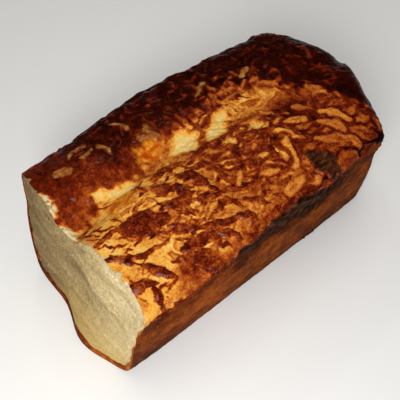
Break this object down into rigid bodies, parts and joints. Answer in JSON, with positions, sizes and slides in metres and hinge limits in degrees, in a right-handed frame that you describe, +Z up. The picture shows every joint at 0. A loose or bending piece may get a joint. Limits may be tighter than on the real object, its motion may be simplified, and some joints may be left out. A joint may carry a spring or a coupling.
{
  "type": "cheese bread loaf",
  "caption": "Tin loaf of cheese bread, split along its top between two lobes, with browned shreds of cheese baked on and one end sliced off to show the pale crumb.",
  "frame": {"origin": "bottom centre of the loaf's bounding box, on the surface it rests on", "axes": "+X along the loaf from the cut face to the whole far end, -Y the long side in front in the picture, +Z up"},
  "size_m": [0.241, 0.1302, 0.0983],
  "materials": {
    "crust": "baked crust, satin where the cheese browned",
    "crumb": "soft matt crumb"
  },
  "bodies": {
    "root": {"loaf": "crust"}
  },
  "joints": []
}
